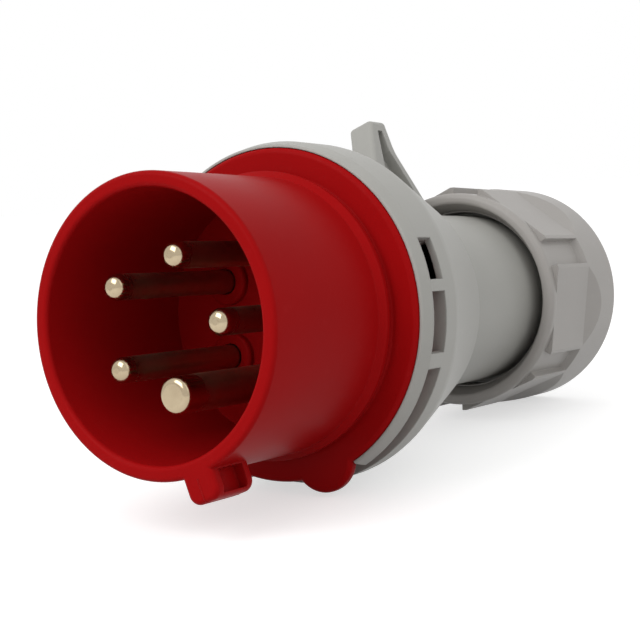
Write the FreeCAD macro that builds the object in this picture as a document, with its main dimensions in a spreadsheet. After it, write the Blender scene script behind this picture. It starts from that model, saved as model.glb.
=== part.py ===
import FreeCAD, Part
import math
import os

import Sketcher
from FreeCAD import Placement, Rotation, Vector

# Industrial pin and sleeve plug, three phases, neutral and earth, 16 A.
# The frame's origin is the centre of the sleeve's mouth. Y runs along the plug from the mouth
# to the cable gland, Z is up, and X is to the right of someone who looks along +Y.
# "station" is a distance from the mouth plane along Y. "clock" is an angle about +Y, counted
# from the retaining lug, so the key lies at 180 degrees.

SIZES = {
    # Attitude of the plug about its own axis
    "roll_clock": 21.2,
    # Sleeve and key
    "sleeve_radius": 28.25,
    "sleeve_wall": 2.95,
    "sleeve_depth": 39.7,
    "mouth_round": 0.9,
    "key_width": 7.0,
    "key_height": 5.1,
    "key_length": 11.7,
    "key_corner": 2.2,
    "key_back_corner": 1.8,
    "key_front_round": 1.0,
    "key_front_wall": 2.1,
    "key_back_wall": 2.7,
    "key_floor_wall": 0.8,
    "key_web": 2.6,
    # Ridge, groove and collar of the contact carrier
    "ridge_front": 34.2,
    "ridge_back": 36.6,
    "ridge_height": 1.2,
    "collar_front": 38.5,
    "collar_thickness": 3.7,
    "collar_radius": 34.3,
    "collar_round": 1.1,
    "collar_inner_round": 0.6,
    "tongue_radius": 7.2,
    "tongue_height": 3.6,
    "tongue_thickness": 3.0,
    # Back of the contact carrier
    "floor_thickness": 4.0,
    "skirt_radius": 29.5,
    "skirt_wall": 2.2,
    "skirt_end": 54.2,
    "lug_radius": 33.1,
    "lug_thickness": 2.5,
    "lug_angle": 12.0,
    "tower_radius": 5.7,
    "tower_end": 50.0,
    "boss_radius": 4.5,
    "root_collar_radius": 4.9,
    "root_collar_height": 1.5,
    "root_collar_round": 0.7,
    "root_gap": 0.2,
    "root_gap_depth": 2.5,
    # Contacts
    "pin_circle": 13.32,
    "line_pin_radius": 2.5,
    "line_pin_tip": 2.77,
    "line_tip_round": 1.9,
    "earth_pin_radius": 3.5,
    "earth_pin_tip": 0.67,
    "earth_tip_round": 1.3,
    "pin_fit": 0.05,
    "shank_relief": 0.2,
    "root_clearance": 0.3,
    "flange_radius": 5.2,
    "flange_thickness": 2.0,
    "barrel_radius": 4.4,
    "barrel_length": 15.0,
    "wire_hole_radius": 2.2,
    "wire_hole_depth": 11.5,
    "screw_from_end": 5.5,
    "screw_radius": 1.95,
    "screw_fit": 0.05,
    "screw_head_radius": 3.0,
    "screw_head_height": 2.2,
    "screw_head_lift": 0.8,
    "slot_width": 0.8,
    "slot_depth": 1.0,
    "guard_thickness": 0.4,
    "guard_width": 2.6,
    "guard_height": 1.2,
    "guard_length": 10.0,
    "guard_lip": 4.0,
    # Retainer behind the contacts
    "retainer_thickness": 3.0,
    "retainer_gap": 0.3,
    "barrel_gap": 0.25,
    "centre_screw_radius": 1.55,
    "centre_screw_length": 9.0,
    "centre_head_radius": 3.4,
    "centre_head_height": 2.4,
    # Housing
    "ring_front": 39.2,
    "ring_gap": 0.1,
    "ring_wall": 1.4,
    "ring_nose_wall": 0.55,
    "ring_nose_round": 0.5,
    "window_front": 42.4,
    "window_back": 47.5,
    "gap_window_clock": 86.5,
    "gap_window_angle": 13.7,
    "short_window_clock": 104.0,
    "short_window_angle": 19.5,
    "long_window_clock": 128.5,
    "long_window_angle": 44.0,
    "notch_gap": 0.3,
    "notch_spare": 7.0,
    "ledge_thickness": 2.5,
    "bayonet_turn": 18.0,
    "bayonet_gap": 0.3,
    "ring_end": 52.6,
    "dome_round": 6.0,
    "dome_end": 79.5,
    "dome_end_radius": 27.3,
    "shoulder_round": 7.0,
    "neck_start": 87.0,
    "neck_radius": 21.4,
    "neck_end": 143.0,
    "neck_round": 1.2,
    "housing_wall": 2.2,
    "thread_start": 130.0,
    "thread_height": 1.0,
    "shelf_start": 128.0,
    "shelf_thickness": 2.0,
    "shelf_height": 1.7,
    # Retaining lug on the housing
    "fin_width": 7.0,
    "fin_reach": 48.0,
    "fin_front": 104.0,
    "fin_length": 7.1,
    "fin_root_front": 91.3,
    "fin_root_back": 120.3,
    "fin_hook_depth": 8.3,
    "fin_hook_round": 8.0,
    "fin_wall": 2.9,
    "fin_front_wall": 3.1,
    "fin_back_wall": 3.2,
    "fin_web": 1.5,
    "fin_round": 1.2,
    # Cable gland
    "nut_clock": 2.7,
    "nut_front": 119.4,
    "nut_end": 158.5,
    "nut_radius": 28.8,
    "nut_shoulder_radius": 27.2,
    "nut_shoulder_length": 2.6,
    "nut_lip_round": 1.5,
    "nut_lip_mouth": 24.6,
    "nut_lip_funnel": 4.2,
    "nut_lip_bore": 22.9,
    "nut_lip_length": 5.2,
    "nut_flat": 26.9,
    "nut_flat_end": 142.0,
    "nut_flat_ramp": 6.0,
    "nut_flute_angle": 14.0,
    "nut_flute_end": 140.0,
    "nut_flute_ramp": 2.5,
    "nut_end_round": 1.6,
    "nut_mouth_radius": 11.5,
    "nut_cavity_radius": 20.2,
    "thread_fit": 0.05,
    "thread_run_out": 1.0,
    "cage_fit": 0.1,
    "cage_base": 2.5,
    "cage_base_bore": 12.0,
    "cage_wall": 2.3,
    "cage_end": 150.4,
    "cage_bevel": 1.5,
    "cage_slots": 8,
    "cage_slot_angle": 8.0,
    "seal_gap": 0.3,
    "seal_bore": 6.5,
    "seal_end": 147.0,
    "seal_mouth": 2.0,
    "thrust_gap": 0.3,
    "thrust_thickness": 2.0,
    "thrust_bore": 10.0,
    "thrust_nose_radius": 15.8,
    "thrust_radius": 17.6,
}

CONTACTS = ("earth_pin", "line_pin_1", "line_pin_2", "line_pin_3", "neutral_pin")
FULL_TURN = 360.0
DEGREES_PER_RADIAN = math.degrees(1)
KEY_CLOCK = 180.0
BAYONET_LUGS = 2
NUT_SIDES = 6
OVERSHOOT = 1.0  # How far a cut runs past the surface it opens
SAME_PLACE = 0.01  # Two places closer than this are one
LEAST_CUT = 0.01  # The least volume that a real cut takes away

doc = FreeCAD.newDocument("pin_and_sleeve_plug")
sheet = doc.addObject("Spreadsheet::Sheet", "Sizes")
for row, (word, number) in enumerate(SIZES.items(), start=1):
    sheet.set(f"A{row}", word)
    sheet.set(f"B{row}", str(number))
    sheet.setAlias(f"B{row}", word)
doc.recompute()


class Size:
    """A length or angle: its value, and the sheet's formula that gives it."""

    def __init__(self, value, formula):
        self.value = value
        self.formula = formula

    def __add__(self, other):
        other = as_size(other)
        return Size(self.value + other.value, f"({self.formula} + {other.formula})")

    def __sub__(self, other):
        other = as_size(other)
        return Size(self.value - other.value, f"({self.formula} - {other.formula})")

    def __mul__(self, other):
        other = as_size(other)
        return Size(self.value * other.value, f"({self.formula} * {other.formula})")

    def __truediv__(self, other):
        other = as_size(other)
        return Size(self.value / other.value, f"({self.formula} / {other.formula})")

    def __neg__(self):
        return Size(-self.value, f"(-1 * {self.formula})")


def as_size(number):
    return number if isinstance(number, Size) else Size(float(number), f"{float(number)}")


def sine(angle):
    return Size(math.sin(math.radians(angle.value)), f"sin({angle.formula} * 1deg)")


def cosine(angle):
    return Size(math.cos(math.radians(angle.value)), f"cos({angle.formula} * 1deg)")


def arccosine(ratio):
    return Size(math.degrees(math.acos(ratio.value)), f"(acos({ratio.formula}) / 1deg)")


class Sheet:
    """The sheet's sizes by name."""

    def __getattr__(self, word):
        return Size(float(sheet.get(word)), f"Sizes.{word}")


d = Sheet()

# Sizes that several pieces share
sleeve_bore = d.sleeve_radius - d.sleeve_wall
sleeve_middle = d.sleeve_radius - d.sleeve_wall / 2
floor_back = d.sleeve_depth + d.floor_thickness
collar_back = d.collar_front + d.collar_thickness
key_reach = d.sleeve_radius + d.key_height
tongue_centre = d.collar_radius + d.tongue_height - d.tongue_radius
crown_station = d.sleeve_depth - d.root_collar_height
flange_back = d.tower_end + d.flange_thickness
barrel_end = flange_back + d.barrel_length
retainer_back = flange_back + d.retainer_thickness
ring_bore = d.collar_radius + d.ring_gap
ring_radius = ring_bore + d.ring_wall
ledge_back = d.window_back + d.ledge_thickness
lug_front = ledge_back + d.bayonet_gap
bayonet_step = as_size(FULL_TURN / BAYONET_LUGS)
gap_clock = d.gap_window_clock + d.gap_window_angle / 2
neck_bore = d.neck_radius - d.housing_wall
thread_radius = d.neck_radius + d.thread_height
shelf_back = d.shelf_start + d.shelf_thickness
cage_radius = neck_bore - d.cage_fit
cage_bore = cage_radius - d.cage_wall
cage_floor = shelf_back + d.cage_base
thrust_front = d.cage_end + d.thrust_gap
thrust_back = thrust_front + d.thrust_thickness
nut_cavity_end = thrust_back + d.thrust_gap


def require(true, message):
    if not true:
        raise RuntimeError(message)


def settled(feature):
    """Recomputes, and returns the feature once it is known to be sound."""
    doc.recompute()
    require("Invalid" not in feature.State, f"{feature.Label} fails: {feature.getStatusString()}")
    return feature


def bind(thing, path, amount):
    """Ties one property of an object to the sheet."""
    thing.setExpression(path, as_size(amount).formula)


def new_body(label):
    body = doc.addObject("PartDesign::Body", label)
    body.Label = label
    return body


def plane(body, role):
    return next(feature for feature in body.Origin.OriginFeatures if feature.Role == role)


def new_sketch(body, name, role):
    sketch = body.newObject("Sketcher::SketchObject", name)
    sketch.AttachmentSupport = [(plane(body, role), "")]
    sketch.MapMode = "FlatFace"
    return sketch


def fix_point(sketch, line, end, across, up):
    """Holds one point of a sketch at its two distances from the origin."""
    for kind, amount in (("DistanceX", across), ("DistanceY", up)):
        rule = Sketcher.Constraint(kind, -1, 1, line, end, amount.value)
        bind(sketch, f"Constraints[{sketch.addConstraint(rule)}]", amount)


def add_outline(sketch, points):
    """Draws a closed outline of straight edges through the points."""
    points = [(as_size(across), as_size(up)) for across, up in points]
    corners = [Vector(across.value, up.value, 0) for across, up in points]
    first = sketch.GeometryCount
    count = len(corners)
    for index in range(count):
        sketch.addGeometry(Part.LineSegment(corners[index], corners[(index + 1) % count]), False)
    for index in range(count):
        following = first + (index + 1) % count
        sketch.addConstraint(Sketcher.Constraint("Coincident", first + index, 2, following, 1))
        fix_point(sketch, first + index, 1, *points[index])


def add_circle(sketch, across, up, radius):
    across, up, radius = as_size(across), as_size(up), as_size(radius)
    centre = Vector(across.value, up.value, 0)
    ring = sketch.addGeometry(Part.Circle(centre, Vector(0, 0, 1), radius.value), False)
    rule = Sketcher.Constraint("Radius", ring, radius.value)
    bind(sketch, f"Constraints[{sketch.addConstraint(rule)}]", radius)
    fix_point(sketch, ring, 3, across, up)


def side_sketch(body, name, points, clock=None):
    """An outline of (station, radius) points, in the plane through the axis at a clock angle."""
    sketch = new_sketch(body, name, "YZ_Plane")
    if clock is not None:
        turn = Rotation(Vector(1, 0, 0), as_size(clock).value)
        sketch.AttachmentOffset = Placement(Vector(0, 0, 0), turn)
        bind(sketch, "AttachmentOffset.Rotation.Angle", clock)
    add_outline(sketch, points)
    return sketch


def cross_sketch(body, name, station):
    """An empty sketch square to the axis: its two directions are X and Z."""
    sketch = new_sketch(body, name, "XZ_Plane")
    sketch.AttachmentOffset = Placement(Vector(0, 0, -as_size(station).value), Rotation())
    bind(sketch, "AttachmentOffset.Base.z", -as_size(station))
    return sketch


def turned(body, name, points, angle=None, clock=None, kind="Revolution"):
    """Turns an outline about the axis: all round, or over an angle centred on a clock angle."""
    sketch = side_sketch(body, f"{name}_outline", points, clock)
    feature = body.newObject(f"PartDesign::{kind}", name)
    feature.Profile = sketch
    feature.ReferenceAxis = (sketch, ["H_Axis"])
    if angle is not None:
        feature.Midplane = True
        bind(feature, "Angle", angle)
    return settled(feature)


def turned_cut(body, name, points, angle, clock):
    before = body.Shape.Volume
    groove = turned(body, name, points, angle, clock, kind="Groove")
    require(body.Shape.Volume < before - LEAST_CUT, f"{name} cuts nothing")
    return groove


def padded(body, name, sketch, length, middle=False):
    pad = body.newObject("PartDesign::Pad", name)
    pad.Profile = sketch
    pad.Midplane = middle
    bind(pad, "Length", length)
    return settled(pad)


def pocketed(body, name, sketch, length, back=False, middle=False):
    before = body.Shape.Volume
    pocket = body.newObject("PartDesign::Pocket", name)
    pocket.Profile = sketch
    pocket.Reversed = back
    pocket.Midplane = middle
    bind(pocket, "Length", length)
    settled(pocket)
    require(body.Shape.Volume < before - LEAST_CUT, f"{name} cuts nothing")
    return pocket


def repeat(body, name, features, count):
    """Repeats features evenly all round the axis."""
    pattern = body.newObject("PartDesign::PolarPattern", name)
    pattern.Originals = features
    pattern.Axis = (plane(body, "Y_Axis"), [""])
    pattern.Angle = FULL_TURN
    pattern.Occurrences = int(count)
    body.Tip = pattern
    return settled(pattern)


def side_pockets(body, name, points, web, width):
    """Sinks one outline into both flat sides of a rib, and leaves a web between."""
    sketch = side_sketch(body, f"{name}_outline", points)
    sketch.AttachmentOffset = Placement(Vector(0, 0, as_size(web).value / 2), Rotation())
    bind(sketch, "AttachmentOffset.Base.z", web / 2)
    pocket = pocketed(body, name, sketch, width, back=True)
    mirror = body.newObject("PartDesign::Mirrored", f"{name}_mirror")
    mirror.Originals = [pocket]
    mirror.MirrorPlane = (plane(body, "YZ_Plane"), [""])
    body.Tip = mirror
    settled(mirror)


def near(number, amount):
    return abs(number - as_size(amount).value) < SAME_PLACE


def ring_edges(*places):
    """Picks the round edges about the axis at the given (station, radius) places."""

    def wanted(edge):
        curve = edge.Curve
        if not isinstance(curve, Part.Circle) or not near(math.hypot(curve.Center.x, curve.Center.z), 0):
            return False
        return any(near(curve.Center.y, station) and near(curve.Radius, radius)
                   for station, radius in places)

    return wanted


def rounded(body, name, radius, wanted):
    base = body.Tip
    names = [f"Edge{number}" for number, edge in enumerate(base.Shape.Edges, 1) if wanted(edge)]
    require(names, f"{name} finds no edge")
    fillet = body.newObject("PartDesign::Fillet", name)
    fillet.Base = (base, names)
    bind(fillet, "Radius", radius)
    return settled(fillet)


def seat_on_axis(body, turn=None):
    """Gives a piece on the plug's axis its roll, and any turn of its own."""
    angle = d.roll_clock if turn is None else d.roll_clock + turn
    body.Placement = Placement(Vector(0, 0, 0), Rotation(Vector(0, -1, 0), angle.value))
    bind(body, "Placement.Rotation.Angle", angle)


def fused(label, mouldings):
    """Joins mouldings that are one piece, and seats the whole on the axis."""
    whole = doc.addObject("Part::MultiFuse", label)
    whole.Shapes = mouldings
    whole.Refine = True
    seat_on_axis(whole)
    return settled(whole)


def contact_clock(index):
    return as_size(KEY_CLOCK + FULL_TURN / len(CONTACTS) * index)


def seat_on_pin_circle(body, index):
    """Puts a piece made about its own axis, with its outer side up, at one contact's place."""
    clock = contact_clock(index) - d.roll_clock
    across, up = d.pin_circle * sine(clock), d.pin_circle * cosine(clock)
    turn = Rotation(Vector(0, 1, 0), clock.value)
    body.Placement = Placement(Vector(across.value, 0, up.value), turn)
    bind(body, "Placement.Base.x", across)
    bind(body, "Placement.Base.z", up)
    bind(body, "Placement.Rotation.Angle", clock)


def contact_places():
    """The contacts' places in the carrier: (X, Z, contact radius)."""
    places = []
    for index, label in enumerate(CONTACTS):
        clock = contact_clock(index)
        radius = d.earth_pin_radius if label == "earth_pin" else d.line_pin_radius
        places.append((d.pin_circle * sine(clock), d.pin_circle * cosine(clock), radius))
    return places


def contact_circles(body, name, station, radius_of):
    """A cross sketch with one circle at each contact."""
    sketch = cross_sketch(body, name, station)
    for across, up, radius in contact_places():
        add_circle(sketch, across, up, radius_of(radius))
    return sketch


def key():
    """The key below the mouth, with a pocket in each side."""
    body = new_body("key_moulding")
    root = -sleeve_middle
    outline = [(0, root), (d.key_length, root), (d.key_length, -key_reach), (0, -key_reach)]
    padded(body, "key", side_sketch(body, "key_outline", outline), d.key_width, middle=True)

    def low(edge):
        return all(near(vertex.Z, -key_reach) for vertex in edge.Vertexes)

    def along(edge):
        first, last = edge.Vertexes[0], edge.Vertexes[-1]
        return low(edge) and near(first.X, last.X) and not near(first.Y, last.Y)

    def back(edge):
        return low(edge) and all(near(vertex.Y, d.key_length) for vertex in edge.Vertexes)

    def front_rim(edge):
        at_front = all(near(vertex.Y, 0) for vertex in edge.Vertexes)
        return at_front and not all(near(vertex.Z, root) for vertex in edge.Vertexes)

    rounded(body, "key_corners", d.key_corner, along)
    rounded(body, "key_back", d.key_back_corner, back)
    rounded(body, "key_front", d.key_front_round, front_rim)
    low_side = -(key_reach - d.key_floor_wall)
    front, end = d.key_front_wall, d.key_length - d.key_back_wall
    side = [(front, -d.sleeve_radius), (end, -d.sleeve_radius), (end, low_side), (front, low_side)]
    side_pockets(body, "key_pocket", side, d.key_web, d.key_width)
    return body


def collar_tongue():
    """The rounded tongue that stands out of the collar below, flush with the collar's face."""
    body = new_body("collar_tongue")
    sketch = cross_sketch(body, "tongue_outline", d.collar_front + d.tongue_thickness)
    add_circle(sketch, 0, -tongue_centre, d.tongue_radius)
    padded(body, "tongue", sketch, d.tongue_thickness)

    def rim(edge):
        return isinstance(edge.Curve, Part.Circle)

    rounded(body, "tongue_rim", d.collar_round, rim)
    trim = cross_sketch(body, "tongue_root_outline", d.collar_front - OVERSHOOT)
    add_outline(trim, [
        (-d.tongue_radius, -sleeve_middle),
        (d.tongue_radius, -sleeve_middle),
        (d.tongue_radius, 0),
        (-d.tongue_radius, 0),
    ])
    pocketed(body, "tongue_root", trim, d.tongue_thickness + OVERSHOOT * 2)
    return body


def add_carrier_lugs(body):
    """The bayonet lugs that lock behind the housing's ledges."""
    root = d.skirt_radius - d.skirt_wall / 2
    lug_back = lug_front + d.lug_thickness
    outline = [(lug_front, root), (lug_front, d.lug_radius), (lug_back, d.lug_radius), (lug_back, root)]
    lug = turned(body, "lug", outline, d.lug_angle, gap_clock - d.bayonet_turn)
    repeat(body, "lugs", [lug], BAYONET_LUGS)


def contact_carrier():
    """Sleeve, key, collar, floor with the contacts' seats, skirt and bayonet lugs."""
    body = new_body("carrier_moulding")
    ridge_radius = d.sleeve_radius + d.ridge_height
    groove_radius = d.sleeve_radius + d.ridge_height / 4
    skirt_bore = d.skirt_radius - d.skirt_wall
    turned(body, "carrier", [
        (0, sleeve_bore),
        (0, d.sleeve_radius),
        (d.ridge_front, d.sleeve_radius),
        (d.ridge_front + d.ridge_height, ridge_radius),
        (d.ridge_back, ridge_radius),
        (d.ridge_back + d.ridge_height / 2, groove_radius),
        (d.collar_front, groove_radius),
        (d.collar_front, d.collar_radius),
        (collar_back, d.collar_radius),
        (collar_back, d.skirt_radius),
        (d.skirt_end, d.skirt_radius),
        (d.skirt_end, skirt_bore),
        (floor_back, skirt_bore),
        (floor_back, 0),
        (d.sleeve_depth, 0),
        (d.sleeve_depth, sleeve_bore),
    ])
    mouth = ring_edges((0, sleeve_bore), (0, d.sleeve_radius))
    rounded(body, "mouth_edges", d.mouth_round, mouth)
    rounded(body, "collar_edge", d.collar_round, ring_edges((d.collar_front, d.collar_radius)))
    foot = ring_edges((d.collar_front, groove_radius), (d.ridge_back, ridge_radius))
    rounded(body, "groove_edges", d.collar_inner_round, foot)
    towers = contact_circles(body, "tower_outline", d.tower_end, lambda radius: d.tower_radius)
    padded(body, "towers", towers, d.tower_end - floor_back)
    boss = cross_sketch(body, "boss_outline", flange_back)
    add_circle(boss, 0, 0, d.boss_radius)
    padded(body, "boss", boss, flange_back - floor_back)
    widen = d.root_collar_radius - d.line_pin_radius
    roots = contact_circles(body, "root_outline", d.sleeve_depth, lambda radius: radius + widen)
    padded(body, "root_collars", roots, d.root_collar_height)

    def crown(edge):
        curve = edge.Curve
        round_edge = isinstance(curve, Part.Circle) and curve.Radius < 2 * d.root_collar_radius.value
        return round_edge and near(curve.Center.y, crown_station)

    rounded(body, "root_crowns", d.root_collar_round, crown)
    holes = contact_circles(body, "contact_hole_outline", crown_station, lambda radius: radius + d.pin_fit)
    pocketed(body, "contact_holes", holes, d.tower_end - crown_station)
    gaps = contact_circles(body, "root_gap_outline", crown_station, lambda radius: radius + d.root_gap)
    pocketed(body, "root_gaps", gaps, d.root_gap_depth)
    pilot = cross_sketch(body, "pilot_outline", flange_back)
    add_circle(pilot, 0, 0, d.centre_screw_radius + d.screw_fit)
    pocketed(body, "pilot", pilot, d.centre_screw_length - d.retainer_thickness + OVERSHOOT,
             back=True)
    add_carrier_lugs(body)
    return fused("contact_carrier", [body, key(), collar_tongue()])


def contact(label, index):
    """A solid contact: pin, flange, and a barrel with its wire hole and screw thread."""
    body = new_body(label)
    earth = label == "earth_pin"
    radius = d.earth_pin_radius if earth else d.line_pin_radius
    tip = d.earth_pin_tip if earth else d.line_pin_tip
    tip_round = d.earth_tip_round if earth else d.line_tip_round
    shank_front = crown_station - d.root_clearance
    shank_radius = radius - d.shank_relief
    wire_hole_end = barrel_end - d.wire_hole_depth
    turned(body, "contact", [
        (tip, 0),
        (tip, radius),
        (shank_front, radius),
        (shank_front, shank_radius),
        (d.tower_end, shank_radius),
        (d.tower_end, d.flange_radius),
        (flange_back, d.flange_radius),
        (flange_back, d.barrel_radius),
        (barrel_end, d.barrel_radius),
        (barrel_end, d.wire_hole_radius),
        (wire_hole_end, d.wire_hole_radius),
        (wire_hole_end - d.wire_hole_radius / 2, 0),
    ])
    rounded(body, "tip_edge", tip_round, ring_edges((tip, radius)))
    sketch = new_sketch(body, "thread_outline", "XY_Plane")
    add_circle(sketch, 0, barrel_end - d.screw_from_end, d.screw_radius + d.screw_fit)
    pocketed(body, "thread_hole", sketch, d.barrel_radius + OVERSHOOT, back=True)
    seat_on_pin_circle(body, index)
    return body


def cut_slot(body, name, station, height):
    """A screwdriver slot across a head whose top stands at a height above the XY plane."""
    sketch = new_sketch(body, f"{name}_outline", "XY_Plane")
    sketch.AttachmentOffset = Placement(Vector(0, 0, height.value), Rotation())
    bind(sketch, "AttachmentOffset.Base.z", height)
    reach = d.screw_head_radius + OVERSHOOT
    half = d.slot_width / 2
    add_outline(sketch, [(-reach, station - half), (reach, station - half),
                         (reach, station + half), (-reach, station + half)])
    pocketed(body, name, sketch, d.slot_depth)


def terminal_screw(label, index):
    """The slotted screw that clamps a wire, square to its contact."""
    body = new_body(label)
    station = barrel_end - d.screw_from_end
    foot = d.guard_height + d.guard_thickness
    head = d.barrel_radius + d.screw_head_lift
    top = head + d.screw_head_height
    sketch = side_sketch(body, "screw_outline", [
        (station, foot),
        (station + d.screw_radius, foot),
        (station + d.screw_radius, head),
        (station + d.screw_head_radius, head),
        (station + d.screw_head_radius, top),
        (station, top),
    ])
    screw = body.newObject("PartDesign::Revolution", "screw")
    screw.Profile = sketch
    screw.ReferenceAxis = (sketch, ["Edge6"])
    settled(screw)
    cut_slot(body, "slot", station, top)
    seat_on_pin_circle(body, index)
    return body


def wire_guard(label, index):
    """The bent leaf between a screw's foot and the wire, hooked over the barrel's end."""
    body = new_body(label)
    low = d.guard_height
    high = low + d.guard_thickness
    front = barrel_end - d.guard_length
    sketch = side_sketch(body, "guard_outline", [
        (front, low),
        (barrel_end + d.guard_thickness, low),
        (barrel_end + d.guard_thickness, d.guard_lip),
        (barrel_end, d.guard_lip),
        (barrel_end, high),
        (front, high),
    ])
    padded(body, "guard", sketch, d.guard_width, middle=True)
    seat_on_pin_circle(body, index)
    return body


def pin_retainer():
    """The plate that holds the contacts' flanges against the carrier."""
    body = new_body("pin_retainer")
    sketch = cross_sketch(body, "plate_outline", retainer_back)
    add_circle(sketch, 0, 0, d.skirt_radius - d.skirt_wall - d.retainer_gap)
    add_circle(sketch, 0, 0, d.centre_screw_radius + d.retainer_gap)
    for across, up, _ in contact_places():
        add_circle(sketch, across, up, d.barrel_radius + d.barrel_gap)
    padded(body, "plate", sketch, d.retainer_thickness)
    seat_on_axis(body)
    return body


def retainer_screw():
    """The slotted screw on the axis that holds the retainer to the carrier's boss."""
    body = new_body("retainer_screw")
    head_back = retainer_back + d.centre_head_height
    turned(body, "screw", [
        (retainer_back - d.centre_screw_length, 0),
        (retainer_back - d.centre_screw_length, d.centre_screw_radius),
        (retainer_back, d.centre_screw_radius),
        (retainer_back, d.centre_head_radius),
        (head_back, d.centre_head_radius),
        (head_back, 0),
    ])
    sketch = cross_sketch(body, "slot_outline", head_back)
    reach, half = d.centre_head_radius + OVERSHOOT, d.slot_width / 2
    add_outline(sketch, [(-reach, -half), (reach, -half), (reach, half), (-reach, half)])
    pocketed(body, "slot", sketch, d.slot_depth, back=True)
    seat_on_axis(body)
    return body


def retaining_fin():
    """The retaining lug: a hooked back face, a leaning front and a pocket in each side."""
    body = new_body("retaining_fin")
    root = d.neck_radius - d.housing_wall / 2
    top_back = d.fin_front + d.fin_length
    hook_foot = d.fin_reach - d.fin_hook_depth
    outline = [
        (d.fin_root_front, root),
        (d.fin_front, d.fin_reach),
        (top_back, d.fin_reach),
        (top_back, hook_foot),
        (d.fin_root_back, root),
    ]
    padded(body, "fin", side_sketch(body, "fin_outline", outline), d.fin_width, middle=True)

    def hook(edge):
        return all(near(vertex.Z, hook_foot) and near(vertex.Y, top_back) for vertex in edge.Vertexes)

    def free(edge):
        return any(vertex.Z > root.value + OVERSHOOT for vertex in edge.Vertexes)

    rounded(body, "fin_hook", d.fin_hook_round, hook)
    rounded(body, "fin_edges", d.fin_round, free)
    foot = d.neck_radius + d.fin_wall
    head = d.fin_reach - d.fin_wall
    front_lean = (d.fin_front - d.fin_root_front) / (d.fin_reach - root)
    back_lean = (d.fin_root_back - top_back) / (hook_foot - root)
    front_top = d.fin_front - front_lean * d.fin_wall + d.fin_front_wall
    front_foot = d.fin_front - front_lean * (d.fin_reach - foot) + d.fin_front_wall * 2
    back_top = top_back - d.fin_back_wall
    back_foot = back_top + back_lean * (hook_foot - foot)
    side = [
        (front_foot, foot),
        (front_top, head),
        (back_top, head),
        (back_top, hook_foot),
        (back_foot, foot),
    ]
    side_pockets(body, "fin_pocket", side, d.fin_web, d.fin_width)
    return body


def add_notch(body, outline):
    """The opening of the ring in which the carrier's tongue moves as the housing is turned."""
    squares = tongue_centre * tongue_centre + ring_bore * ring_bore - d.tongue_radius * d.tongue_radius
    half = arccosine(squares / (tongue_centre * ring_bore * 2))
    clearance = d.notch_gap / ring_bore * DEGREES_PER_RADIAN
    start = as_size(KEY_CLOCK) - half - clearance
    angle = (half + clearance) * 2 + d.bayonet_turn + d.notch_spare
    turned_cut(body, "notch", outline, angle, start + angle / 2)


def add_windows(body):
    """The slots behind the front ring and the ledges inside them, all round."""
    front, end = d.window_front, d.window_back
    low, high = d.skirt_radius, ring_radius + OVERSHOOT
    outline = [(front, low), (front, high), (end, high), (end, low)]
    spans = (
        ("gap_window", d.gap_window_clock, d.gap_window_angle),
        ("short_window", d.short_window_clock, d.short_window_angle),
        ("long_window", d.long_window_clock, d.long_window_angle),
    )
    windows = [turned_cut(body, name, outline, angle, start + angle / 2) for name, start, angle in spans]
    repeat(body, "windows", windows, BAYONET_LUGS)
    open_front = d.ring_front - OVERSHOOT
    add_notch(body, [(open_front, low), (open_front, high), (end, high), (end, low)])
    ledge_bore = d.skirt_radius + d.bayonet_gap
    root = ring_bore + d.ring_wall / 2
    ledge_outline = [(end, ledge_bore), (end, root), (ledge_back, root), (ledge_back, ledge_bore)]
    ledge_angle = bayonet_step - d.gap_window_angle
    ledge = turned(body, "ledge", ledge_outline, ledge_angle, gap_clock + bayonet_step / 2)
    repeat(body, "ledges", [ledge], BAYONET_LUGS)


def housing():
    """The shell from the slotted ring over the dome to the threaded neck, with its fin."""
    body = new_body("housing_shell")
    wall = d.housing_wall
    body_bore = ring_radius - wall
    nose_radius = ring_bore + d.ring_nose_wall
    turned(body, "shell", [
        (d.ring_front, ring_bore),
        (d.ring_front, nose_radius),
        (d.window_front, ring_radius),
        (d.ring_end, ring_radius),
        (d.dome_end, d.dome_end_radius),
        (d.neck_start, d.neck_radius),
        (d.thread_start, d.neck_radius),
        (d.thread_start, thread_radius),
        (d.neck_end, thread_radius),
        (d.neck_end, neck_bore),
        (shelf_back, neck_bore),
        (shelf_back, neck_bore - d.shelf_height),
        (d.shelf_start, neck_bore - d.shelf_height),
        (d.shelf_start, neck_bore),
        (d.neck_start, neck_bore),
        (d.dome_end, d.dome_end_radius - wall),
        (d.ring_end + wall / 2, body_bore),
        (ledge_back, body_bore),
        (d.window_back, ring_bore),
    ])
    rounded(body, "dome_edge", d.dome_round, ring_edges((d.ring_end, ring_radius)))
    rounded(body, "shoulder_edge", d.shoulder_round, ring_edges((d.dome_end, d.dome_end_radius)))
    rounded(body, "neck_edge", d.neck_round, ring_edges((d.neck_start, d.neck_radius)))
    rounded(body, "nose_edge", d.ring_nose_round, ring_edges((d.ring_front, nose_radius)))
    add_windows(body)
    return fused("housing", [body, retaining_fin()])


def clamping_cage():
    """The slotted cage in the neck's end that closes on the seal."""
    body = new_body("clamping_cage")
    turned(body, "cage", [
        (shelf_back, d.cage_base_bore),
        (shelf_back, cage_radius),
        (d.cage_end - d.cage_bevel * 2, cage_radius),
        (d.cage_end, cage_radius - d.cage_bevel),
        (d.cage_end, cage_bore),
        (cage_floor, cage_bore),
        (cage_floor, d.cage_base_bore),
    ])
    slot_front, slot_end = cage_floor + d.cage_base, d.cage_end + OVERSHOOT
    low, high = cage_bore - OVERSHOOT, cage_radius + OVERSHOOT
    outline = [(slot_front, low), (slot_front, high), (slot_end, high), (slot_end, low)]
    slot = turned_cut(body, "slot", outline, d.cage_slot_angle, 0)
    repeat(body, "slots", [slot], d.cage_slots.value)
    seat_on_axis(body)
    return body


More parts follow.
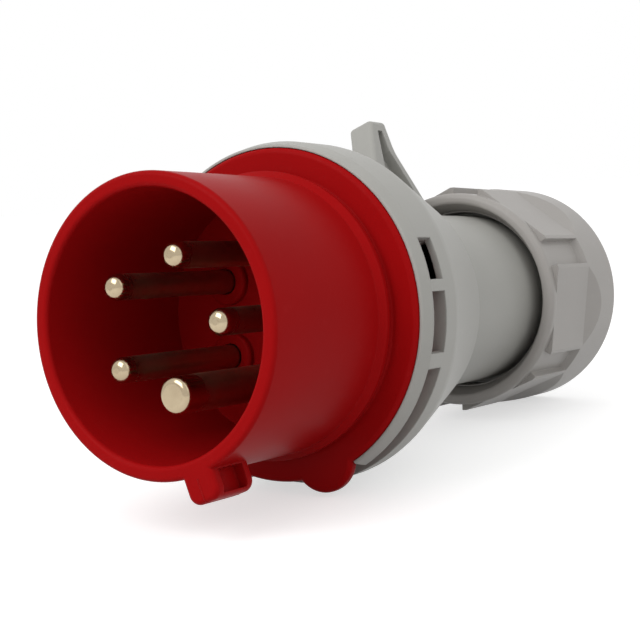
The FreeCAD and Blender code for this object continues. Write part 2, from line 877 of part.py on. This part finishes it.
def gland_seal():
    """The rubber ring that grips the cable."""
    body = new_body("gland_seal")
    radius = cage_bore - d.seal_gap
    turned(body, "seal", [
        (cage_floor, d.seal_bore),
        (cage_floor, radius),
        (d.seal_end, radius),
        (d.seal_end, d.seal_bore + d.seal_mouth),
        (d.seal_end - d.seal_mouth, d.seal_bore),
    ])
    seat_on_axis(body)
    return body


def thrust_ring():
    """The slip ring between the nut and the seal: it travels with the nut and doesn't turn."""
    body = new_body("thrust_ring")
    nose = d.seal_end + d.thrust_gap
    turned(body, "ring", [
        (nose, d.thrust_bore),
        (nose, d.thrust_nose_radius),
        (thrust_front, d.thrust_nose_radius),
        (thrust_front, d.thrust_radius),
        (thrust_back, d.thrust_radius),
        (thrust_back, d.thrust_bore),
    ])
    seat_on_axis(body)
    return body


def gland_nut():
    """The six-sided gland nut: rounded lip, flats that run out before its round end, and flutes."""
    body = new_body("gland_nut")
    lip_back = d.nut_front + d.nut_lip_length
    side_front = d.nut_front + d.nut_shoulder_length
    thread_bore = thread_radius + d.thread_fit
    thread_run_out = d.neck_end + d.thread_run_out
    turned(body, "nut", [
        (d.nut_front, d.nut_lip_mouth),
        (d.nut_front, d.nut_shoulder_radius),
        (side_front, d.nut_shoulder_radius),
        (side_front, d.nut_radius),
        (d.nut_end, d.nut_radius),
        (d.nut_end, d.nut_mouth_radius),
        (nut_cavity_end, d.nut_mouth_radius),
        (nut_cavity_end, d.nut_cavity_radius),
        (thread_run_out, d.nut_cavity_radius),
        (thread_run_out, thread_bore),
        (lip_back, thread_bore),
        (lip_back, d.nut_lip_bore),
        (d.nut_front + d.nut_lip_funnel, d.nut_lip_bore),
    ])
    rounded(body, "nut_end_edge", d.nut_end_round, ring_edges((d.nut_end, d.nut_radius)))
    rounded(body, "nut_lip", d.nut_lip_round, ring_edges((d.nut_front, d.nut_shoulder_radius)))
    rounded(body, "nut_lip_inside", d.nut_lip_round / 2, ring_edges((d.nut_front, d.nut_lip_mouth)))
    high = d.nut_radius + OVERSHOOT
    ramp_end = d.nut_flat_end + d.nut_flat_ramp
    flat = side_sketch(body, "flat_outline", [
        (side_front, d.nut_flat),
        (side_front, high),
        (ramp_end, high),
        (ramp_end, d.nut_radius),
        (d.nut_flat_end, d.nut_flat),
    ])
    side = pocketed(body, "flat", flat, d.nut_radius, middle=True)
    repeat(body, "flats", [side], NUT_SIDES)
    outline = [
        (side_front, d.nut_shoulder_radius),
        (side_front, high),
        (d.nut_flute_end + d.nut_flute_ramp, high),
        (d.nut_flute_end, d.nut_shoulder_radius),
    ]
    flute = turned_cut(body, "flute", outline, d.nut_flute_angle, FULL_TURN / NUT_SIDES / 2)
    repeat(body, "flutes", [flute], NUT_SIDES)
    seat_on_axis(body, turn=d.nut_clock)
    return body


def build():
    pieces = [contact_carrier()]
    for index, label in enumerate(CONTACTS):
        pieces.append(contact(label, index))
        name = label.replace("_pin", "")
        pieces.append(terminal_screw(f"{name}_terminal_screw", index))
        pieces.append(wire_guard(f"{name}_wire_guard", index))
    pieces += [pin_retainer(), retainer_screw(), housing(), clamping_cage(), gland_seal()]
    pieces += [thrust_ring(), gland_nut()]
    doc.recompute()
    return pieces


def check(pieces):
    for thing in doc.Objects:
        failed = "Invalid" in thing.State or "Error" in thing.State
        require(not failed, f"{thing.Label} failed: {thing.State}")
    for piece in pieces:
        sound = not piece.Shape.isNull() and piece.Shape.isValid() and len(piece.Shape.Solids) == 1
        require(sound, f"{piece.Label} is not one sound solid")


pieces = build()
check(pieces)
os.makedirs("parts", exist_ok=True)
for piece in pieces:
    piece.Shape.exportStep(f"parts/{piece.Label}.step")
    print(f"{piece.Label}: {piece.Shape.Volume:.1f} mm3")
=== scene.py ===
import math

import bmesh
import bpy
from mathutils import Matrix, Vector


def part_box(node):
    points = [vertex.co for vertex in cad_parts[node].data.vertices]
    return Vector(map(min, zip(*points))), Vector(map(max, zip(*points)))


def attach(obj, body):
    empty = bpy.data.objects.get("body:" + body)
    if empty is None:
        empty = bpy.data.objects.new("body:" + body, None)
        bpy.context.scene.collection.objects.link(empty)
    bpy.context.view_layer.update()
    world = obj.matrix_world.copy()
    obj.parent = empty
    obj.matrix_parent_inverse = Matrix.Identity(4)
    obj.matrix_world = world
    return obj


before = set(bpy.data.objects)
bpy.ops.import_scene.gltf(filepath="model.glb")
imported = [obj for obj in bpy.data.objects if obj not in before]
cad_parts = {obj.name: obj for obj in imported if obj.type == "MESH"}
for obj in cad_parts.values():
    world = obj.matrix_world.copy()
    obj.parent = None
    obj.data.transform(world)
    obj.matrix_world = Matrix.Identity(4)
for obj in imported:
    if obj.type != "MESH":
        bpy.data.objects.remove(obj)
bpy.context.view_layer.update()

# Camera: the photograph's viewpoint
CAMERA_PLACE = Vector((0.1553, -0.1794, 0.0112))
CAMERA_FORWARD = Vector((-0.5488, 0.8347, -0.0460))
CAMERA_UP = Vector((0.0, 0.055, 0.9985))
CAMERA_LENS = 73.46
CAMERA_SENSOR = 36.0

# The contacts' polished tips: the roughness kept there, and the length over which the polish fades
POLISH_SHARE = 0.5
POLISH_FADE = 0.004

# Mould seam on the key: reach and front round are the key's own, as in the part's source
KEY_REACH = 0.03335
KEY_FRONT_ROUND = 0.0010
KEY_SEAM_START = 0.0288
KEY_SEAM_END = 0.0098
KEY_SEAM_WIDTH = 0.00045
KEY_SEAM_HEIGHT = 0.00007
KEY_SEAM_STEPS = 6

# The seam's section, as shares of its width across and of its height outwards
SEAM_SECTION = [(-0.5, -1.0), (0.5, -1.0), (0.5, 0.0), (0.28, 0.75), (0.0, 1.0), (-0.28, 0.75), (-0.5, 0.0)]

# Studio: the levels of the world's light, and of the floor
HORIZON_LIGHT = 0.67
ZENITH_LIGHT = 0.74
FLOOR_COLOUR = 0.62
FLOOR_GLOW = 0.58
FLOOR_SIZE = 6.0
WHITE = (1.0, 1.0, 1.0, 1.0)

# Rounds in which the line under the plug is tilted until it touches at two places
SUPPORT_ROUNDS = 4


def srgb(red, green, blue):
    """A colour given in 0 to 255, as the linear values that shaders take."""
    linear = []
    for part in (red, green, blue):
        part /= 255
        linear.append(part / 12.92 if part <= 0.04045 else ((part + 0.055) / 1.055) ** 2.4)
    return (*linear, 1.0)


def shade(colour, factor):
    """A colour made darker or lighter by a factor."""
    return (*(min(part * factor, 1.0) for part in colour[:3]), 1.0)


def put(tree, socket, value):
    """Set an input to a value, or link it where the value is another node's output."""
    if isinstance(value, bpy.types.NodeSocket):
        tree.links.new(value, socket)
    else:
        socket.default_value = value


def add_node(tree, kind, inputs=None, **settings):
    """A new node with its inputs put and its settings made."""
    made = tree.nodes.new(kind)
    for word, value in settings.items():
        setattr(made, word, value)
    for socket, value in (inputs or {}).items():
        put(tree, made.inputs[socket], value)
    return made


def seen_directly(add):
    """An output that is 1 for camera, glossy and transmission rays. The given function adds the nodes."""
    path = add("ShaderNodeLightPath").outputs
    direct = add("ShaderNodeMath", {0: path["Is Camera Ray"], 1: path["Is Glossy Ray"]}, operation="MAXIMUM")
    return add("ShaderNodeMath", {0: direct.outputs[0], 1: path["Is Transmission Ray"]},
               operation="MAXIMUM").outputs[0]


class Shader:
    """A material's node tree, with short calls for the nodes that every finish uses."""

    def __init__(self, name):
        self.material = bpy.data.materials.new(name)
        self.material.use_nodes = True
        self.tree = self.material.node_tree
        self.main = self.tree.nodes["Principled BSDF"]
        self.place = self.node("ShaderNodeTexCoord").outputs["Object"]

    def node(self, kind, inputs=None, **settings):
        return add_node(self.tree, kind, inputs, **settings)

    def stretched(self, scale):
        """The object's coordinates, scaled by three numbers."""
        return self.node("ShaderNodeMapping", {"Vector": self.place, "Scale": scale}).outputs["Vector"]

    def noise(self, scale, detail, rough, place=None, distortion=0.0):
        return self.node("ShaderNodeTexNoise", {
            "Vector": place or self.place, "Scale": scale, "Detail": detail,
            "Roughness": rough, "Distortion": distortion}).outputs["Fac"]

    def ramp(self, value, low, high, out_low=0.0, out_high=1.0):
        """A value carried from low and high to out_low and out_high, and held beyond them."""
        return self.node("ShaderNodeMapRange", {
            "Value": value, "From Min": low, "From Max": high,
            "To Min": out_low, "To Max": out_high}).outputs["Result"]

    def maths(self, operation, first, second):
        return self.node("ShaderNodeMath", {0: first, 1: second}, operation=operation).outputs[0]

    def mixed(self, factor, first, second):
        made = self.node("ShaderNodeMix", data_type="RGBA")
        for socket, value in zip((made.inputs[0], made.inputs[6], made.inputs[7]), (factor, first, second)):
            put(self.tree, socket, value)
        return made.outputs[2]

    def bump(self, height, distance, normal=None):
        inputs = {"Height": height, "Distance": distance, "Strength": 1.0}
        if normal is not None:
            inputs["Normal"] = normal
        return self.node("ShaderNodeBump", inputs).outputs["Normal"]

    def soft_edges(self, radius):
        """The normal with edges rounded over a radius, and how near to an edge a point lies."""
        rounded = self.node("ShaderNodeBevel", {"Radius": radius}, samples=6).outputs["Normal"]
        true = self.node("ShaderNodeNewGeometry").outputs["Normal"]
        straight = self.node("ShaderNodeVectorMath", {0: rounded, 1: true}, operation="DOT_PRODUCT")
        return rounded, self.ramp(straight.outputs["Value"], 0.995, 0.90)

    def finish(self, **inputs):
        """The material, once inputs of its main shader are put by name, with _ for a space."""
        for socket, value in inputs.items():
            put(self.tree, self.main.inputs[socket.replace("_", " ")], value)
        return self.material


def moulded_plastic(name, colour, worn, rough, sheen, grain_height, edge=0.0004):
    """Moulded plastic: faint clouds and flow lines, spark-eroded grain, hairline scuffs, paler edges."""
    made = Shader(name)
    clouds = made.ramp(made.noise(scale=26.0, detail=3.0, rough=0.55), 0.35, 0.65)
    along = made.stretched((9.0, 1.0, 9.0))
    flow = made.ramp(made.noise(scale=9.0, detail=4.0, rough=0.6, place=along), 0.35, 0.65)
    grain = made.noise(scale=2600.0, detail=2.0, rough=0.6)
    dust = made.ramp(made.noise(scale=420.0, detail=2.0, rough=0.5), 0.62, 0.76)
    across = made.stretched((1.0, 14.0, 1.6))
    lines = made.noise(scale=60.0, detail=1.0, rough=0.4, place=across, distortion=1.5)
    hairline = made.ramp(made.maths("ABSOLUTE", made.maths("SUBTRACT", lines, 0.5), 0.0), 0.004, 0.0)
    patches = made.ramp(made.noise(scale=34.0, detail=2.0, rough=0.5), 0.56, 0.68)
    scuff = made.maths("MULTIPLY", hairline, patches)
    normal, edges = made.soft_edges(edge)
    rubbed = made.ramp(made.noise(scale=330.0, detail=3.0, rough=0.6), 0.38, 0.62, 0.15, 1.0)
    wear = made.maths("MULTIPLY", edges, rubbed)
    body = made.mixed(clouds, shade(colour, 0.955), shade(colour, 1.045))
    body = made.mixed(made.maths("MULTIPLY", flow, 0.35), body, shade(colour, 1.06))
    body = made.mixed(made.maths("MULTIPLY", dust, 0.12), body, worn)
    body = made.mixed(made.maths("MULTIPLY", wear, 0.30), body, worn)
    body = made.mixed(made.maths("MULTIPLY", scuff, 0.20), body, worn)
    gloss = made.maths("ADD", made.ramp(clouds, 0.0, 1.0, rough - 0.03, rough + 0.03),
                       made.maths("MULTIPLY", scuff, 0.12))
    gloss = made.maths("ADD", gloss, made.maths("MULTIPLY", wear, 0.06))
    height = made.maths("SUBTRACT", grain, made.maths("MULTIPLY", scuff, 0.8))
    return made.finish(Base_Color=body, Roughness=gloss, IOR=1.5, Specular_IOR_Level=sheen,
                       Normal=made.bump(height, grain_height, normal))


def metal(name, colour, tarnish, rough, brushed, mark_height, polish_end=0.0, edge=0.0002):
    """Turned metal: fine tool marks along one direction, tarnish in patches, brighter edges.

    In front of polish_end, along the plug, the metal is polished by use.
    """
    made = Shader(name)
    marks = made.noise(scale=260.0, detail=3.0, rough=0.6, place=made.stretched(brushed))
    patches = made.ramp(made.noise(scale=170.0, detail=4.0, rough=0.6), 0.45, 0.70)
    specks = made.ramp(made.noise(scale=1500.0, detail=1.0, rough=0.5), 0.60, 0.72)
    normal, edges = made.soft_edges(edge)
    body = made.mixed(made.maths("MULTIPLY", patches, 0.20), colour, tarnish)
    body = made.mixed(made.maths("MULTIPLY", specks, 0.12), body, tarnish)
    body = made.mixed(made.maths("MULTIPLY", edges, 0.4), body, shade(colour, 1.12))
    gloss = made.maths("ADD", made.ramp(marks, 0.3, 0.7, rough - 0.05, rough + 0.07),
                       made.maths("MULTIPLY", patches, 0.08))
    station = made.node("ShaderNodeSeparateXYZ", {"Vector": made.place}).outputs["Y"]
    polish = made.ramp(station, polish_end - POLISH_FADE, polish_end, POLISH_SHARE, 1.0)
    gloss = made.maths("MULTIPLY", gloss, polish)
    return made.finish(Base_Color=body, Metallic=1.0, Roughness=gloss,
                       Normal=made.bump(marks, mark_height, normal))


def rubber(name, colour, rough):
    """Matt rubber: soft clouds and a pale bloom over a fine grain."""
    made = Shader(name)
    clouds = made.ramp(made.noise(scale=60.0, detail=4.0, rough=0.6), 0.3, 0.7)
    bloom = made.ramp(made.noise(scale=900.0, detail=3.0, rough=0.6), 0.55, 0.8)
    body = made.mixed(clouds, shade(colour, 0.8), shade(colour, 1.25))
    body = made.mixed(made.maths("MULTIPLY", bloom, 0.2), body, srgb(95, 95, 93))
    return made.finish(Base_Color=body, Roughness=made.ramp(clouds, 0.0, 1.0, rough - 0.05, rough + 0.05),
                       Normal=made.bump(made.noise(scale=1800.0, detail=3.0, rough=0.7), 0.00004))


FINISHES = {
    "red_plastic": moulded_plastic(
        "red_plastic_finish", srgb(152, 13, 15), srgb(168, 38, 38), rough=0.34, sheen=0.022,
        grain_height=0.000022),
    "grey_plastic": moulded_plastic(
        "grey_plastic_finish", srgb(161, 160, 155), srgb(180, 179, 174), rough=0.42, sheen=0.30,
        grain_height=0.000028),
    "nut_plastic": moulded_plastic(
        "nut_plastic_finish", srgb(160, 156, 152), srgb(180, 176, 172), rough=0.40, sheen=0.28,
        grain_height=0.000026),
    "inner_plastic": moulded_plastic(
        "inner_plastic_finish", srgb(150, 150, 145), srgb(175, 174, 168), rough=0.50, sheen=0.30,
        grain_height=0.00003),
    "contact_brass": metal(
        "contact_finish", srgb(180, 164, 137), srgb(124, 98, 68), rough=0.32, brushed=(1.0, 5.0, 1.0),
        mark_height=0.000003, polish_end=0.008),
    "screw_steel": metal(
        "screw_finish", srgb(176, 176, 174), srgb(130, 126, 118), rough=0.28, brushed=(6.0, 1.0, 6.0),
        mark_height=0.000012),
    "seal_rubber": rubber("seal_finish", srgb(28, 28, 29), rough=0.72),
}


def finish_of(node):
    """The finish of a CAD node, by what the piece is."""
    if node == "contact_carrier":
        return "red_plastic"
    if node == "gland_nut":
        return "nut_plastic"
    if node == "housing":
        return "grey_plastic"
    if node == "gland_seal":
        return "seal_rubber"
    if node.endswith("_pin") or node.startswith("line_pin"):
        return "contact_brass"
    if node.endswith(("_screw", "_wire_guard")):
        return "screw_steel"
    return "inner_plastic"


for node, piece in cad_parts.items():
    piece.data.materials.clear()
    piece.data.materials.append(FINISHES[finish_of(node)])


def support_line(nodes):
    """The line z = height + slope * y on which the plug rests at two places, one each side of its middle."""
    points = [(corner.co.y, corner.co.z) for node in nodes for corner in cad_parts[node].data.vertices]
    middle = sum(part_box("housing")[side].y for side in (0, 1)) / 2
    front = [point for point in points if point[0] <= middle]
    back = [point for point in points if point[0] > middle]
    first, second = min(front, key=lambda p: p[1]), min(back, key=lambda p: p[1])
    slope = (second[1] - first[1]) / (second[0] - first[0])
    for _ in range(SUPPORT_ROUNDS):
        first = min(front, key=lambda p: p[1] - slope * p[0])
        second = min(back, key=lambda p: p[1] - slope * p[0])
        slope = (second[1] - first[1]) / (second[0] - first[0])
    return first[1] - slope * first[0], slope


def outward(node):
    """The direction from the plug's axis to a node beside it, and the direction along the circle there."""
    low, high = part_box(node)
    middle = (Vector(low) + Vector(high)) / 2
    radial = Vector((middle.x, 0.0, middle.z)).normalized()
    return radial, Vector((0.0, 1.0, 0.0)).cross(radial)


def add_seam(name, path, across, width, height, body, slot):
    """A mould seam: a low rounded ridge along a path of (place, outward normal), set into its surface."""
    mesh = bpy.data.meshes.new(name)
    corners = [place + across * (width * side) + normal * (height * up)
               for place, normal in path for side, up in SEAM_SECTION]
    count = len(SEAM_SECTION)
    faces = [(row + step, row + (step + 1) % count, row + count + (step + 1) % count, row + count + step)
             for row in range(0, len(corners) - count, count) for step in range(count)]
    faces += [tuple(reversed(range(count))), tuple(range(len(corners) - count, len(corners)))]
    mesh.from_pydata(corners, [], faces)
    build = bmesh.new()
    build.from_mesh(mesh)
    bmesh.ops.recalc_face_normals(build, faces=build.faces)
    build.to_mesh(mesh)
    build.free()
    for face in mesh.polygons:
        face.use_smooth = True
    seam = bpy.data.objects.new(name, mesh)
    bpy.context.scene.collection.objects.link(seam)
    mesh.materials.append(FINISHES[slot])
    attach(seam, body)


def add_key_seam():
    """The parting line down the middle of the key's front and round its lower edge."""
    down, across = outward("earth_pin")
    back = Vector((0.0, 1.0, 0.0))
    turn = KEY_REACH - KEY_FRONT_ROUND
    path = [(down * KEY_SEAM_START, -back), (down * turn, -back)]
    for step in range(1, KEY_SEAM_STEPS + 1):
        angle = math.pi / 2 * step / KEY_SEAM_STEPS
        normal = down * math.sin(angle) - back * math.cos(angle)
        path.append((down * turn + back * KEY_FRONT_ROUND + normal * KEY_FRONT_ROUND, normal))
    path.append((down * KEY_REACH + back * KEY_SEAM_END, down))
    add_seam("key_seam", path, across, KEY_SEAM_WIDTH, KEY_SEAM_HEIGHT, "carrier", "red_plastic")


def floor_finish():
    """Pale matt surface that keeps shadows and reaches white where it is seen directly or in gloss."""
    pale = (FLOOR_COLOUR, FLOOR_COLOUR, FLOOR_COLOUR, 1.0)
    made = Shader("floor_finish")
    fine = made.ramp(made.noise(scale=8.0, detail=3.0, rough=0.5), 0.3, 0.7)
    made.finish(Base_Color=made.mixed(fine, shade(pale, 0.99), pale), Roughness=0.9)
    seen = seen_directly(made.node)
    glow = made.node("ShaderNodeEmission", {"Strength": made.maths("MULTIPLY", seen, FLOOR_GLOW)})
    both = made.node("ShaderNodeAddShader", {0: made.main.outputs[0], 1: glow.outputs[0]})
    put(made.tree, made.tree.nodes["Material Output"].inputs["Surface"], both.outputs[0])
    return made.material


def add_floor():
    """A plain floor that touches the plug at its ring and its nut, as it lies at rest."""
    height, slope = support_line(("contact_carrier", "housing", "gland_nut"))
    mesh = bpy.data.meshes.new("floor")
    corners = ((-1, -1), (1, -1), (1, 1), (-1, 1))
    mesh.from_pydata([(FLOOR_SIZE * x, FLOOR_SIZE * y, 0.0) for x, y in corners], [], [(0, 1, 2, 3)])
    floor = bpy.data.objects.new("floor", mesh)
    bpy.context.scene.collection.objects.link(floor)
    floor.location = (0.0, 0.0, height)
    floor.rotation_euler = (math.atan(slope), 0.0, 0.0)
    floor.data.materials.append(floor_finish())


def add_world():
    """Soft light that is strongest from above, and plain white where it is seen directly or in gloss."""
    world = bpy.data.worlds.new("studio")
    world.use_nodes = True
    tree = world.node_tree

    def linked(kind, inputs=None, **settings):
        return add_node(tree, kind, inputs, **settings)

    direction = linked("ShaderNodeTexCoord").outputs["Generated"]
    height = linked("ShaderNodeSeparateXYZ", {0: direction}).outputs["Z"]
    strength = linked("ShaderNodeMapRange", {
        "Value": height, "From Min": 0.0, "From Max": 1.0,
        "To Min": HORIZON_LIGHT, "To Max": ZENITH_LIGHT}).outputs["Result"]
    soft = linked("ShaderNodeBackground", {"Color": WHITE, "Strength": strength}).outputs[0]
    plain = linked("ShaderNodeBackground", {"Color": WHITE, "Strength": 1.0}).outputs[0]
    mix = linked("ShaderNodeMixShader", {"Fac": seen_directly(linked), 1: soft, 2: plain}).outputs[0]
    put(tree, tree.nodes["World Output"].inputs["Surface"], mix)
    bpy.context.scene.world = world


def add_lamp(name, place, aim, size, power):
    """A soft rectangular lamp that stands at a place and looks at another."""
    data = bpy.data.lights.new(name, "AREA")
    data.shape = "RECTANGLE"
    data.size, data.size_y = size
    data.energy = power
    lamp = bpy.data.objects.new(name, data)
    bpy.context.scene.collection.objects.link(lamp)
    lamp.location = place
    lamp.rotation_euler = (Vector(aim) - Vector(place)).to_track_quat("-Z", "Y").to_euler()


def add_camera():
    """The camera at the photograph's viewpoint."""
    forward = CAMERA_FORWARD.normalized()
    right = forward.cross(CAMERA_UP).normalized()
    up = right.cross(forward)
    data = bpy.data.cameras.new("camera")
    data.lens, data.sensor_width = CAMERA_LENS, CAMERA_SENSOR
    data.clip_start, data.clip_end = 0.01, 50.0
    camera = bpy.data.objects.new("camera", data)
    bpy.context.scene.collection.objects.link(camera)
    turn = Matrix((right, up, -forward)).transposed()
    camera.matrix_world = Matrix.Translation(CAMERA_PLACE) @ turn.to_4x4()
    bpy.context.scene.camera = camera


add_key_seam()
add_floor()
add_world()
add_lamp("side_softbox", place=(0.40, 0.04, 0.36), aim=(0.0, 0.06, 0.0), size=(0.5, 0.5), power=0.38)
add_lamp("front_softbox", place=(-0.12, -0.45, 0.38), aim=(0.0, 0.02, 0.0), size=(0.4, 0.4), power=1.9)
add_camera()
bpy.context.scene.view_settings.view_transform = "Standard"
